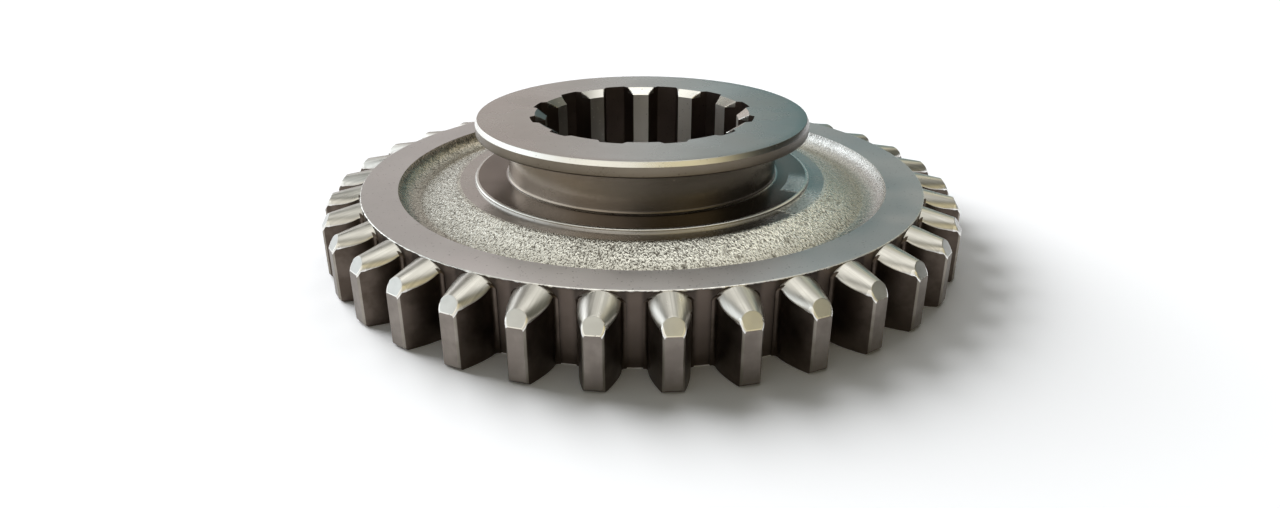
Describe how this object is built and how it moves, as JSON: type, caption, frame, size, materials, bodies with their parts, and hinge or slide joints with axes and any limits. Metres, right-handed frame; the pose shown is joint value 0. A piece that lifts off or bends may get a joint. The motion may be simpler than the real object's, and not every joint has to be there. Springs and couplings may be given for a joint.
{
  "type": "spur gear wheel",
  "caption": "Sliding spur gear wheel with rounded tooth ends, a dished web, an involute spline bore and a collar with a groove for a shift fork.",
  "frame": {"origin": "centre of the bore at the flat back face, which is the face the wheel lies on", "axes": "+Z along the bore's axis, towards the collar; +X through the middle of a tooth"},
  "size_m": [0.18, 0.1796, 0.0366],
  "materials": {
    "steel": "satin"
  },
  "bodies": {
    "root": {"gear_wheel": "steel"}
  },
  "joints": []
}
